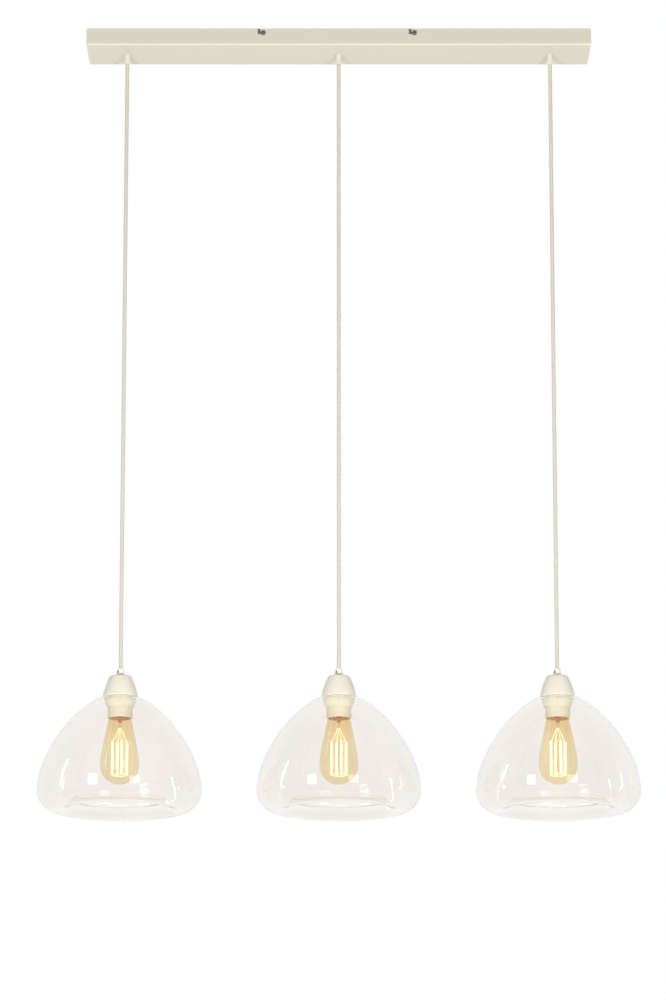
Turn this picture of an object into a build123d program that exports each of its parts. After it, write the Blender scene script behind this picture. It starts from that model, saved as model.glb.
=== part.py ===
"""Three-light bar pendant: a painted ceiling bar, three cords and three blown-glass shades with their bulbs.

Millimetres, +Z up. The origin is the middle of the ceiling face, so the whole light hangs below zero.
"""
import os
from math import acos, cos, degrees, radians, sin

from build123d import *

os.makedirs("parts", exist_ok=True)

# Ceiling bar
bar_length = 855
bar_depth = 106
bar_height = 29
sheet = 1.2
bend_radius = 3
corner_radius = 1.6

# Ceiling bracket
plate = 1.5
strap_length = 300
strap_width = 32
arm_width = 24
ear_depth = 16
ear_clearance = 0.3
ceiling_slot_spacing = 180
ceiling_slot_length = 24
ceiling_slot_width = 5.5
supply_hole = 14
supply_hole_x = -40

# Screws that hold the bar to the bracket, each in an L-shaped slot
screw_spacing = 256
screw_drop = 8
screw_d = 3.8
screw_head_d = 8.4
screw_head_height = 2.6
screw_length = 7
screw_drive = 1.2
slot_width = 4.6
slot_run = 7
thread_clearance = 0.15

# Earth screw under the strap
earth_x = 44
earth_y = -9
earth_head_d = 8
earth_head_height = 3

# Pendants and cords
pendant_pitch = 360
cord_d = 6.5
cord_length = 1047
cord_bore_clearance = 0.2
moving_clearance = 0.3
flex_length = 9

# Cord grips: one under the bar and one on each cap
grip_d = 11
grip_height = 16.5
grip_round = 1.5
thread_d = 9.8
grip_hole_clearance = 0.2
grip_stub = 7
nut_width = 14
nut_height = 4
low_grip_d = 12
low_grip_top_d = 8.4
low_grip_height = 14.5
low_grip_taper = 3.5
low_grip_stub = 9
cord_insert = 9
set_screw_d = 4
set_screw_slot = 0.8
set_screw_angle = 225

# Terminal block on the floor of the bar
block_x = 0
block_wall_gap = 23
block_width = 17
block_length = 30
block_base = 7
block_height = 13
pole_pitch = 10
tower_d = 7.4
tower_spacing = 9
pole_bore = 5.6
pole_height = 7
terminal_screw_d = 4.4
terminal_screw_height = 3

# Cores and cord tails inside the bar
core_d = 2.2
core_bend = 3
tail_bend = 9
tail_top = 9
tail_floor_gap = 0.5
tail_wall_gap = 10
tail_drop_run = 60
tail_end_x = 34
core_level = 1.5
core_lift = 4.2
core_side = 1.5
core_gap = 0.5
core_run = 10

# Cap over each lampholder
cap_height = 34.5
cap_wall = 1.2
cap_top_d = 29
cap_shoulder_d = 35.6
cap_shoulder_drop = 2.6
cap_rim_d = 56
cap_bulge = 1

# Glass shade, as a chain of tangent arcs around the widest ring
shade_d = 270
shade_wall = 2.5
shade_side_radius = 125
shade_side_angle = 19.3
shade_dome_radius = 221
shade_crown_radius = 56
shade_crown_d = 100
shade_corner_radius = 33
shade_lip_angle = 64.2
shade_mouth_d = 150
shade_hole_d = 42
shade_seat_gap = 0.3

# Lampholder and the ring that clamps the shade
skirt_d = 41
skirt_wall = 1.7
skirt_drop = 35.8
holder_shoulder_drop = 19
holder_top_d = 19
holder_top_gap = 0.2
holder_floor = 3
insert_d = 36.8
insert_height = 10
insert_hub_d = 20
insert_hub_height = 4
ring_d = 51
ring_clearance = 0.2
ring_drop = 8.8
ring_bevel = 8.5
ring_foot_d = 43
shell_bore = 27.8
shell_wall = 0.6
shell_length = 20
tongue_d = 7
tongue_thickness = 0.8

# Bulb
bulb_d = 64
bulb_wall = 0.8
bulb_visible = 109.4
bulb_belly_radius = 128
bulb_cone_angle = 11.5
bulb_shoulder_rise = 2
bulb_neck_d = 24.4
bulb_neck_rise = 9
bulb_neck_length = 6
screw_cap_d = 26.2
screw_cap_wall = 0.5
screw_cap_length = 22
insulator_top_d = 11
insulator_height = 3
tip_d = 9.4
tip_height = 1.4
stem_flare_d = 21
stem_d = 7
stem_waist_d = 4.4
stem_drop = 15
stem_bead_d = 5.6
filament_count = 4
filament_d = 3
filament_circle_d = 25
filament_length = 54
filament_drop = 39
filament_turn = 18
lead_d = 1
lead_ring_d = 1.1
lead_reach = 0.6

# Heights that follow from the stack
floor_z = -bar_height + sheet
grip_end_z = -bar_height - grip_height
pivot_z = grip_end_z - cord_d / 2 - moving_clearance
flex_end_z = pivot_z - flex_length
low_grip_z = grip_end_z - cord_length
cap_top_z = low_grip_z - low_grip_height
cap_rim_z = cap_top_z - cap_height
skirt_end_z = cap_rim_z - skirt_drop
holder_top_z = cap_top_z - cap_wall - holder_top_gap
holder_shoulder_z = holder_top_z - holder_shoulder_drop
bulb_tip_z = skirt_end_z - bulb_visible
bulb_wide_z = bulb_tip_z + bulb_d / 2
screw_cap_end_z = skirt_end_z + bulb_neck_rise
screw_cap_top_z = screw_cap_end_z + screw_cap_length
tip_z = screw_cap_top_z + insulator_height + moving_clearance
insert_z = tip_z + tip_height + moving_clearance + tongue_thickness
filament_top_z = skirt_end_z - filament_drop
stem_end_z = skirt_end_z - stem_drop

cord_r = cord_d / 2
cord_bore_r = cord_r + cord_bore_clearance
thread_hole_r = thread_d / 2 + grip_hole_clearance
tail_line_y = tail_wall_gap - bar_depth / 2
block_y = block_wall_gap - bar_depth / 2
pendants = {"left": -pendant_pitch, "middle": 0, "right": pendant_pitch}

# Centres of the dome and crown arcs that carry the side arc up to the hole, measured from the widest ring
side_centre = shade_d / 2 - shade_side_radius
dome_shift = (shade_dome_radius - shade_side_radius) * cos(radians(shade_side_angle))
dome_drop = (shade_dome_radius - shade_side_radius) * sin(radians(shade_side_angle))
dome_centre = side_centre - dome_shift
shade_crown_angle = degrees(acos((shade_crown_d / 2 - dome_centre) / shade_dome_radius))
crown_centre = dome_centre + (shade_dome_radius - shade_crown_radius) * cos(radians(shade_crown_angle))
crown_lift = (shade_dome_radius - shade_crown_radius) * sin(radians(shade_crown_angle)) - dome_drop


def crown_angle(radius, wall=0):
    """Angle on the crown arc, in degrees above level, where it reaches a radius."""
    return degrees(acos((radius - crown_centre) / (shade_crown_radius - wall)))


def crown_rise(radius, wall=0):
    """Height of the crown above the widest ring at a radius, on its outer or inner face."""
    return crown_lift + (shade_crown_radius - wall) * sin(radians(crown_angle(radius, wall)))


shade_wide_z = cap_rim_z - shade_seat_gap - crown_rise(cap_rim_d / 2 - cap_wall)
shade_low_d = shade_d - 2 * shade_corner_radius
shade_lip_radius = (shade_low_d - shade_mouth_d) / 2 / sin(radians(shade_lip_angle))
ring_top_z = shade_wide_z + crown_rise(ring_d / 2, shade_wall) - shade_seat_gap


def side_plane(x):
    """Upright plane through a pendant's axis: its x is the radius and its y is the height."""
    return Plane(origin=(x, 0, 0), x_dir=(1, 0, 0), z_dir=(0, -1, 0))


def upright(x):
    """A pendant's own axis."""
    return Axis((x, 0, 0), (0, 0, 1))


def save(solid, name):
    """Label a finished piece and write its file."""
    solid.label = name
    export_step(solid, f"parts/{name}.step")


def round_bar(points, diameter, bend):
    """Sweep a round section along straight runs joined by bends."""
    with BuildLine() as route:
        if len(points) > 2:
            FilletPolyline(*points, radius=bend)
        else:
            Line(*points)
    with BuildSketch(Plane(origin=route.line @ 0, z_dir=route.line % 0)) as section:
        Circle(diameter / 2)
    sweep(sections=section.sketch, path=route.line)


def make_canopy_housing():
    """Folded steel bar, open at the ceiling, with three grip holes and four L-shaped slots."""
    with BuildPart() as canopy_housing:
        with BuildSketch(Plane.XY.offset(-bar_height)):
            RectangleRounded(bar_length, bar_depth, corner_radius)
        extrude(amount=bar_height)
        fillet(canopy_housing.faces().sort_by(Axis.Z)[0].edges(), bend_radius)
        offset(amount=-sheet, openings=canopy_housing.faces().sort_by(Axis.Z)[-1])
        with BuildSketch(Plane.XY.offset(-bar_height)):
            with GridLocations(pendant_pitch, 0, 3, 1):
                Circle(thread_hole_r)
        extrude(amount=sheet, mode=Mode.SUBTRACT)
        slot_foot = screw_drop + slot_width / 2
        with BuildSketch(Plane.XZ):
            with GridLocations(screw_spacing, 0, 2, 1):
                with Locations((-slot_run, -slot_foot / 2)):
                    Rectangle(slot_width, slot_foot)
                with Locations((-slot_run / 2, -screw_drop)):
                    Rectangle(slot_run, slot_width)
                with Locations((0, -screw_drop)):
                    Circle(slot_width / 2)
        extrude(amount=bar_depth, both=True, mode=Mode.SUBTRACT)
    save(canopy_housing.part, "canopy_housing")


def make_ceiling_bracket():
    """Steel strap with two cross arms whose ends turn down into threaded ears."""
    ear_span = bar_depth - 2 * (sheet + ear_clearance)
    with BuildPart() as ceiling_bracket:
        with BuildSketch(Plane.XY.offset(-plate)):
            Rectangle(strap_length, strap_width)
            with GridLocations(screw_spacing, 0, 2, 1):
                Rectangle(arm_width, ear_span)
            with GridLocations(ceiling_slot_spacing, 0, 2, 1):
                SlotOverall(ceiling_slot_length, ceiling_slot_width, mode=Mode.SUBTRACT)
            with Locations((supply_hole_x, 0)):
                Circle(supply_hole / 2, mode=Mode.SUBTRACT)
            with Locations((earth_x, earth_y)):
                Circle(screw_d / 2 + thread_clearance, mode=Mode.SUBTRACT)
        extrude(amount=plate)
        with BuildSketch(Plane.XY.offset(-plate)):
            with GridLocations(screw_spacing, ear_span - plate, 2, 2):
                Rectangle(arm_width, plate)
        extrude(amount=plate - ear_depth)
        with BuildSketch(Plane.XZ):
            with GridLocations(screw_spacing, 0, 2, 1):
                with Locations((0, -screw_drop)):
                    Circle(screw_d / 2 + thread_clearance)
        extrude(amount=bar_depth, both=True, mode=Mode.SUBTRACT)
    save(ceiling_bracket.part, "ceiling_bracket")


def make_canopy_screws():
    """Four round-headed screws, two in the front wall of the bar and two in the back."""
    with BuildPart() as canopy_screws:
        for facing in (-1, 1):
            wall = Plane(origin=(0, facing * bar_depth / 2, -screw_drop), x_dir=(1, 0, 0), z_dir=(0, facing, 0))
            with BuildSketch(wall):
                with GridLocations(screw_spacing, 0, 2, 1):
                    Circle(screw_head_d / 2)
            extrude(amount=screw_head_height)
            with BuildSketch(wall):
                with GridLocations(screw_spacing, 0, 2, 1):
                    Circle(screw_d / 2)
            extrude(amount=-screw_length)
        crowns = canopy_screws.faces().sort_by(Axis.Y)
        fillet((crowns[:2] + crowns[-2:]).edges(), screw_head_height * 0.6)
        for facing in (-1, 1):
            crown = Plane(
                origin=(0, facing * (bar_depth / 2 + screw_head_height), -screw_drop),
                x_dir=(1, 0, 0),
                z_dir=(0, facing, 0),
            )
            with BuildSketch(crown):
                with GridLocations(screw_spacing, 0, 2, 1):
                    Rectangle(screw_head_d, screw_drive)
            extrude(amount=-screw_drive, mode=Mode.SUBTRACT)
    save(canopy_screws.part, "canopy_screws")


def make_earth_screw():
    """Earth screw that clamps its lead under the strap."""
    with BuildPart() as earth_screw:
        with BuildSketch(Plane.XY.offset(-plate)):
            with Locations((earth_x, earth_y)):
                Circle(earth_head_d / 2)
        extrude(amount=-earth_head_height)
        fillet(earth_screw.faces().sort_by(Axis.Z)[0].edges(), earth_head_height / 3)
        with BuildSketch(Plane.XY.offset(-plate)):
            with Locations((earth_x, earth_y)):
                Circle(screw_d / 2)
        extrude(amount=plate - thread_clearance)
    save(earth_screw.part, "earth_screw")


def make_canopy_grips():
    """Three cord grips under the bar, each with a threaded stub through the floor."""
    with BuildPart() as canopy_grips:
        for x in pendants.values():
            with BuildSketch(side_plane(x)) as section:
                with BuildLine():
                    Polyline(
                        (cord_bore_r, floor_z + grip_stub),
                        (thread_d / 2, floor_z + grip_stub),
                        (thread_d / 2, -bar_height),
                        (grip_d / 2, -bar_height),
                        (grip_d / 2, grip_end_z),
                        (cord_bore_r, grip_end_z),
                        close=True,
                    )
                make_face()
                foot = section.vertices().group_by(Axis.Y)[0].sort_by(Axis.X)[-1]
                fillet(foot, grip_round)
            revolve(axis=upright(x))
    save(canopy_grips.part, "canopy_grips")


def make_grip_nuts():
    """Hexagon nuts that hold the upper grips to the floor of the bar."""
    with BuildPart() as grip_nuts:
        with BuildSketch(Plane.XY.offset(floor_z)):
            with GridLocations(pendant_pitch, 0, 3, 1):
                RegularPolygon(nut_width / 2, 6, major_radius=False)
                Circle(thread_hole_r, mode=Mode.SUBTRACT)
        extrude(amount=nut_height)
        chamfer(grip_nuts.faces().sort_by(Axis.Z)[-3:].edges().filter_by(GeomType.LINE), nut_height / 8)
    save(grip_nuts.part, "grip_nuts")


def make_terminal_block():
    """Three-pole terminal block with a pair of screw towers and a cross bore for each pole."""
    floor = Plane(origin=(block_x, block_y, floor_z))
    with BuildPart() as terminal_block:
        with BuildSketch(floor):
            RectangleRounded(block_length, block_width, 1)
        extrude(amount=block_base)
        with BuildSketch(floor):
            with GridLocations(pole_pitch, tower_spacing, 3, 2):
                Circle(tower_d / 2)
        extrude(amount=block_height)
        with BuildSketch(floor.offset(block_height)):
            with GridLocations(pole_pitch, tower_spacing, 3, 2):
                Circle(terminal_screw_d / 2 + thread_clearance)
        extrude(amount=-terminal_screw_height, mode=Mode.SUBTRACT)
        cross = Plane(origin=(block_x, block_y, floor_z + pole_height), x_dir=(1, 0, 0), z_dir=(0, 1, 0))
        with BuildSketch(cross):
            with GridLocations(pole_pitch, 0, 3, 1):
                Circle(pole_bore / 2)
        extrude(amount=block_width, both=True, mode=Mode.SUBTRACT)
    save(terminal_block.part, "terminal_block")


def make_terminal_screws():
    """Six clamping screws sunk in the towers of the terminal block."""
    seat = Plane(origin=(block_x, block_y, floor_z + block_height - terminal_screw_height))
    with BuildPart() as terminal_screws:
        with BuildSketch(seat):
            with GridLocations(pole_pitch, tower_spacing, 3, 2):
                Circle(terminal_screw_d / 2)
        extrude(amount=terminal_screw_height / 2)
    save(terminal_screws.part, "terminal_screws")


def tail_level():
    """Height of a cord that lies on the floor of the bar."""
    return floor_z + cord_r + tail_floor_gap


def make_cord_tails():
    """Ends of the three cords inside the bar: two run along the front wall, the middle one stops short."""
    low = tail_level()
    with BuildPart() as cord_tails:
        for x in pendants.values():
            exit_point = (x, 0, grip_end_z)
            if x == 0:
                round_bar([exit_point, (0, 0, floor_z + grip_stub + core_d)], cord_d, tail_bend)
                continue
            inward = -1 if x > 0 else 1
            turn = (x, 0, -tail_top)
            landing = (x + inward * tail_drop_run, tail_line_y, low)
            round_bar([exit_point, turn, landing, (-inward * tail_end_x, tail_line_y, low)], cord_d, tail_bend)
    save(cord_tails.part, "cord_tails")


def core_route(side, pole):
    """Points of one core from the end of its cord to a pole: -1 and 1 are the outer poles."""
    pole_x = block_x + pole * pole_pitch
    pole_z = floor_z + pole_height
    if side == "middle":
        back = block_y + block_width / 2
        top = floor_z + grip_stub + core_d
        over = -tail_top + core_d
        return [
            (pole * core_side, 0, top),
            (pole * core_side, 0, over),
            (pole_x * 0.7, back * 0.6, over),
            (pole_x, back * 0.75, pole_z),
            (pole_x, back - core_d, pole_z),
        ]
    hand = -1 if side == "left" else 1
    front = block_y - block_width / 2
    level = pole_z - core_level if side == "left" else pole_z + core_level
    same = pole == hand
    lane = tail_line_y + (core_side if same else -core_side) + (0 if side == "left" else -core_lift)
    start_z = tail_level() if side == "left" else tail_level() + core_side / 3
    start = (hand * (tail_end_x - core_gap), tail_line_y + (core_side if same else -core_side), start_z)
    near = (hand * (tail_end_x - core_run), lane, (start_z + level) / 2)
    return [start, near, (pole_x, lane, level), (pole_x, front + core_d, level)]


def make_core_wires():
    """Brown and blue cores from each cord to the outer poles of the terminal block."""
    with BuildPart() as live_cores:
        for side in pendants:
            round_bar(core_route(side, -1), core_d, core_bend)
    save(live_cores.part, "live_cores")
    with BuildPart() as neutral_cores:
        for side in pendants:
            round_bar(core_route(side, 1), core_d, core_bend)
    save(neutral_cores.part, "neutral_cores")


def make_earth_lead():
    """Earth lead from the middle pole up to the earth screw under the strap."""
    front = block_y - block_width / 2
    pole_z = floor_z + pole_height
    rise_y = front - core_d
    with BuildPart() as earth_lead:
        round_bar(
            [
                (block_x, front + core_d, pole_z),
                (block_x, rise_y, pole_z),
                (block_x, rise_y, -tail_top),
                (earth_x / 2, (rise_y + earth_y) / 2, -tail_top + core_d),
                (earth_x - earth_head_d / 2 - core_d, earth_y - core_d, -plate - earth_head_height / 2),
            ],
            core_d,
            core_bend * 0.6,
        )
    save(earth_lead.part, "earth_lead")


def make_cord(side, x):
    """Cord below the bar: a short bending stub at the grip and the long straight run."""
    with BuildPart() as cord_flex:
        with BuildSketch(side_plane(x)):
            with BuildLine():
                CenterArc((0, pivot_z), cord_r, 0, 90)
                Polyline((cord_r, pivot_z), (cord_r, flex_end_z), (0, flex_end_z), (0, pivot_z + cord_r))
            make_face()
        revolve(axis=upright(x))
    save(cord_flex.part, f"cord_flex_{side}")
    run_top = flex_end_z - moving_clearance
    with BuildPart() as cord:
        with BuildSketch(Plane(origin=(x, 0, run_top))):
            Circle(cord_r)
        extrude(amount=low_grip_z - cord_insert - run_top)
    save(cord.part, f"cord_{side}")


def screw_plane(x):
    """Plane square to a lower grip's set screw, on the pendant's axis."""
    turn = radians(set_screw_angle)
    return Plane(
        origin=(x, 0, low_grip_z - low_grip_height / 2),
        x_dir=(0, 0, 1),
        z_dir=(cos(turn), sin(turn), 0),
    )


def make_cord_grip(side, x):
    """Lower cord grip with a tapered top, a set screw hole and a threaded stub into the cap."""
    stub_z = cap_top_z - low_grip_stub
    with BuildPart() as cord_grip:
        with BuildSketch(side_plane(x)):
            with BuildLine():
                Polyline(
                    (cord_bore_r, low_grip_z),
                    (low_grip_top_d / 2, low_grip_z),
                    (low_grip_d / 2, low_grip_z - low_grip_taper),
                    (low_grip_d / 2, cap_top_z),
                    (thread_d / 2, cap_top_z),
                    (thread_d / 2, stub_z),
                    (cord_bore_r, stub_z),
                    close=True,
                )
            make_face()
        revolve(axis=upright(x))
        with BuildSketch(screw_plane(x)):
            Circle(set_screw_d / 2 + thread_clearance)
        extrude(amount=low_grip_d, mode=Mode.SUBTRACT)
    save(cord_grip.part, f"cord_grip_{side}")


def make_grip_screw(side, x):
    """Slotted set screw that clamps the cord in its lower grip."""
    outer = low_grip_d / 2
    with BuildPart() as grip_screw:
        with BuildSketch(screw_plane(x).offset(cord_bore_r)):
            Circle(set_screw_d / 2)
        extrude(amount=outer - cord_bore_r)
        with BuildSketch(screw_plane(x).offset(outer)):
            Rectangle(set_screw_slot, set_screw_d)
        extrude(amount=-set_screw_slot, mode=Mode.SUBTRACT)
    save(grip_screw.part, f"grip_screw_{side}")


def make_cap(side, x):
    """Spun metal cap: a flat top, a rounded shoulder and a bulging side down to the glass."""
    shoulder = (cap_shoulder_d / 2, cap_top_z - cap_shoulder_drop)
    rim = (cap_rim_d / 2, cap_rim_z)
    waist = (
        (shoulder[0] + rim[0]) / 2 + cap_bulge,
        (shoulder[1] + rim[1]) / 2 + cap_bulge / 2,
    )
    with BuildPart() as cap:
        with BuildSketch(side_plane(x)):
            with BuildLine():
                Polyline(rim, (0, cap_rim_z), (0, cap_top_z), (cap_top_d / 2, cap_top_z))
                ThreePointArc(shoulder, waist, rim)
                RadiusArc((cap_top_d / 2, cap_top_z), shoulder, cap_shoulder_drop * 1.5)
            make_face()
        revolve(axis=upright(x))
        offset(amount=-cap_wall, openings=cap.faces().sort_by(Axis.Z)[0])
        with BuildSketch(Plane(origin=(x, 0, cap_top_z))):
            Circle(thread_hole_r)
        extrude(amount=-2 * cap_wall, mode=Mode.SUBTRACT)
    save(cap.part, f"cap_{side}")


def shade_face(wall):
    """One face of the shade's wall as tangent arcs, from the hole in the crown to the edge of the mouth."""
    widest = (shade_d / 2 - wall, shade_wide_z)
    flank = JernArc(widest, (0, 1), shade_side_radius - wall, shade_side_angle)
    dome = JernArc(flank @ 1, flank % 1, shade_dome_radius - wall, shade_crown_angle - shade_side_angle)
    crown_turn = crown_angle(shade_hole_d / 2, wall) - shade_crown_angle
    crown = JernArc(dome @ 1, dome % 1, shade_crown_radius - wall, crown_turn)
    corner = JernArc(widest, (0, -1), shade_corner_radius - wall, -90)
    lip = JernArc(corner @ 1, corner % 1, shade_lip_radius - wall, -shade_lip_angle)
    return crown @ 1, lip @ 1


def make_shade(side, x):
    """Blown-glass shade whose lower edge rolls inward and up to its mouth."""
    with BuildPart() as shade:
        with BuildSketch(side_plane(x)):
            with BuildLine():
                outer_hole, outer_edge = shade_face(0)
                inner_hole, inner_edge = shade_face(shade_wall)
                Line(outer_hole, inner_hole)
                Line(outer_edge, inner_edge)
            make_face()
        revolve(axis=upright(x))
    save(shade.part, f"shade_{side}")


def make_shade_ring(side, x):
    """Threaded ring on the lampholder that clamps the shade up against the cap."""
    bore = skirt_d / 2 + ring_clearance
    with BuildPart() as shade_ring:
        with BuildSketch(side_plane(x)):
            with BuildLine():
                Polyline(
                    (bore, ring_top_z),
                    (ring_d / 2, ring_top_z),
                    (ring_d / 2, cap_rim_z - ring_drop),
                    (ring_foot_d / 2, cap_rim_z - ring_drop - ring_bevel),
                    (bore, cap_rim_z - ring_drop - ring_bevel),
                    close=True,
                )
            make_face()
        revolve(axis=upright(x))
    save(shade_ring.part, f"shade_ring_{side}")


def make_lampholder_body(side, x):
    """Moulded lampholder: a domed top on the grip's thread and a skirt through the shade."""
    outer = skirt_d / 2
    inner = outer - skirt_wall
    with BuildPart() as lampholder_body:
        with BuildSketch(side_plane(x)) as section:
            with BuildLine():
                Polyline(
                    (outer, skirt_end_z),
                    (outer, holder_shoulder_z),
                    (holder_top_d / 2, holder_top_z),
                    (thread_hole_r, holder_top_z),
                    (thread_hole_r, holder_top_z - holder_floor),
                    (holder_top_d / 2 - skirt_wall / 2, holder_top_z - holder_floor),
                    (inner, holder_shoulder_z - skirt_wall),
                    (inner, skirt_end_z),
                    close=True,
                )
            make_face()
            fillet(section.vertices().group_by(Axis.Y)[0], skirt_wall / 3)
        revolve(axis=upright(x))
    save(lampholder_body.part, f"lampholder_body_{side}")


def make_lampholder_insert(side, x):
    """Insulating insert that carries the contacts inside the lampholder."""
    with BuildPart() as lampholder_insert:
        with BuildSketch(Plane(origin=(x, 0, insert_z))):
            Circle(insert_d / 2)
        extrude(amount=insert_height)
        with BuildSketch(Plane(origin=(x, 0, insert_z + insert_height))):
            Circle(insert_hub_d / 2)
        extrude(amount=insert_hub_height)
    save(lampholder_insert.part, f"lampholder_insert_{side}")


def make_lampholder_contacts(side, x):
    """Screw shell and centre tongue that the bulb's cap meets."""
    with BuildPart() as lampholder_contacts:
        with BuildSketch(Plane(origin=(x, 0, insert_z))):
            Circle(shell_bore / 2 + shell_wall)
            Circle(shell_bore / 2, mode=Mode.SUBTRACT)
        extrude(amount=-shell_length)
        with BuildSketch(Plane(origin=(x, 0, insert_z))):
            Circle(tongue_d / 2)
        extrude(amount=-tongue_thickness)
    save(lampholder_contacts.part, f"lampholder_contacts_{side}")


def make_bulb_base(side, x):
    """Screw cap of the bulb with its insulator, and the contact at its tip."""
    with BuildPart() as bulb_tip:
        with BuildSketch(Plane(origin=(x, 0, tip_z))):
            Circle(tip_d / 2)
        extrude(amount=tip_height)
        fillet(bulb_tip.faces().sort_by(Axis.Z)[-1].edges(), tip_height / 2)
    save(bulb_tip.part, f"bulb_tip_{side}")
    outer = screw_cap_d / 2
    with BuildPart() as bulb_cap:
        with BuildSketch(side_plane(x)):
            with BuildLine():
                Polyline(
                    (outer - screw_cap_wall, screw_cap_end_z),
                    (outer, screw_cap_end_z),
                    (outer, screw_cap_top_z),
                    (insulator_top_d / 2, screw_cap_top_z + insulator_height),
                    (0, screw_cap_top_z + insulator_height),
                    (0, screw_cap_top_z - screw_cap_wall),
                    (outer - screw_cap_wall, screw_cap_top_z - screw_cap_wall),
                    close=True,
                )
            make_face()
        revolve(axis=upright(x))
    save(bulb_cap.part, f"bulb_cap_{side}")


def bulb_face(wall, top_z):
    """Closed outline of the bulb's envelope, drawn in by a wall: tip, belly, cone, shoulder and neck."""
    radius = bulb_d / 2 - wall
    neck = bulb_neck_d / 2 - wall
    tip = CenterArc((0, bulb_wide_z), radius, -90, 90)
    belly = JernArc(tip @ 1, (0, 1), bulb_belly_radius - wall, bulb_cone_angle)
    rise = skirt_end_z + bulb_shoulder_rise - (belly @ 1).Y
    cone = PolarLine(belly @ 1, rise / cos(radians(bulb_cone_angle)), direction=belly % 1)
    Polyline(
        cone @ 1,
        (neck, skirt_end_z + bulb_neck_rise),
        (neck, top_z),
        (0, top_z),
        tip @ 0,
    )


def make_bulb_glass(side, x):
    """Pear-shaped glass envelope, open at the neck that sits in the screw cap."""
    neck_top = skirt_end_z + bulb_neck_rise + bulb_neck_length
    with BuildPart() as bulb_glass:
        with BuildSketch(side_plane(x)):
            with BuildLine():
                bulb_face(0, neck_top)
            make_face()
        revolve(axis=upright(x))
        with BuildSketch(side_plane(x)):
            with BuildLine():
                bulb_face(bulb_wall, neck_top + bulb_wall)
            make_face()
        revolve(axis=upright(x), mode=Mode.SUBTRACT)
    save(bulb_glass.part, f"bulb_glass_{side}")


def make_bulb_stem(side, x):
    """Glass stem: a flare sealed in the neck, a waist and a bead that holds the leads."""
    flare_z = skirt_end_z + bulb_neck_rise + bulb_neck_length
    with BuildPart() as bulb_stem:
        with BuildSketch(side_plane(x)):
            with BuildLine():
                Polyline(
                    (0, flare_z),
                    (stem_flare_d / 2, flare_z),
                    (stem_d / 2, skirt_end_z + bulb_shoulder_rise),
                    (stem_d / 2, skirt_end_z - stem_drop / 4),
                    (stem_waist_d / 2, skirt_end_z - stem_drop / 2),
                    (stem_waist_d / 2, stem_end_z + stem_bead_d),
                    (stem_bead_d / 2, stem_end_z + stem_bead_d / 2),
                    (stem_bead_d / 2, stem_end_z),
                    (0, stem_end_z),
                    close=True,
                )
            make_face()
        revolve(axis=upright(x))
    save(bulb_stem.part, f"bulb_stem_{side}")


def filament_places(x):
    """Centres of the filament sticks around a pendant's axis."""
    turns = [radians(filament_turn + 360 / filament_count * k) for k in range(filament_count)]
    radius = filament_circle_d / 2
    return [(x + radius * sin(turn), -radius * cos(turn)) for turn in turns]


def make_bulb_filaments(side, x):
    """Upright light sticks around the bulb's axis."""
    with BuildPart() as bulb_filaments:
        with BuildSketch(Plane.XY.offset(filament_top_z)):
            with Locations(*filament_places(x)):
                Circle(filament_d / 2)
        extrude(amount=-filament_length)
    save(bulb_filaments.part, f"bulb_filaments_{side}")


def make_bulb_leads(side, x):
    """Lead wires from the stem to each stick, and the ring that joins the sticks below."""
    with BuildPart() as bulb_leads:
        for px, py in filament_places(x):
            reach = 1 - lead_reach * filament_d / filament_circle_d
            inset = stem_bead_d / filament_circle_d / 2
            start = (x + (px - x) * inset, py * inset, stem_end_z - lead_d / 2)
            finish = (x + (px - x) * reach, py * reach, filament_top_z + lead_d / 2)
            round_bar([start, finish], lead_d, lead_d)
        ring_z = filament_top_z - filament_length - lead_ring_d / 2
        section = Plane(origin=(x + filament_circle_d / 2, 0, ring_z), z_dir=(0, 1, 0))
        with BuildSketch(section):
            Circle(lead_ring_d / 2)
        revolve(axis=upright(x))
    save(bulb_leads.part, f"bulb_leads_{side}")


make_canopy_housing()
make_ceiling_bracket()
make_canopy_screws()
make_earth_screw()
make_canopy_grips()
make_grip_nuts()
make_terminal_block()
make_terminal_screws()
make_cord_tails()
make_core_wires()
make_earth_lead()
for side_name, axis_x in pendants.items():
    make_cord(side_name, axis_x)
    make_cord_grip(side_name, axis_x)
    make_grip_screw(side_name, axis_x)
    make_cap(side_name, axis_x)
    make_shade(side_name, axis_x)
    make_shade_ring(side_name, axis_x)
    make_lampholder_body(side_name, axis_x)
    make_lampholder_insert(side_name, axis_x)
    make_lampholder_contacts(side_name, axis_x)
    make_bulb_base(side_name, axis_x)
    make_bulb_glass(side_name, axis_x)
    make_bulb_stem(side_name, axis_x)
    make_bulb_filaments(side_name, axis_x)
    make_bulb_leads(side_name, axis_x)
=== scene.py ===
from math import acos, atan2, cos, degrees, hypot, pi, radians, sin, tan

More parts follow.
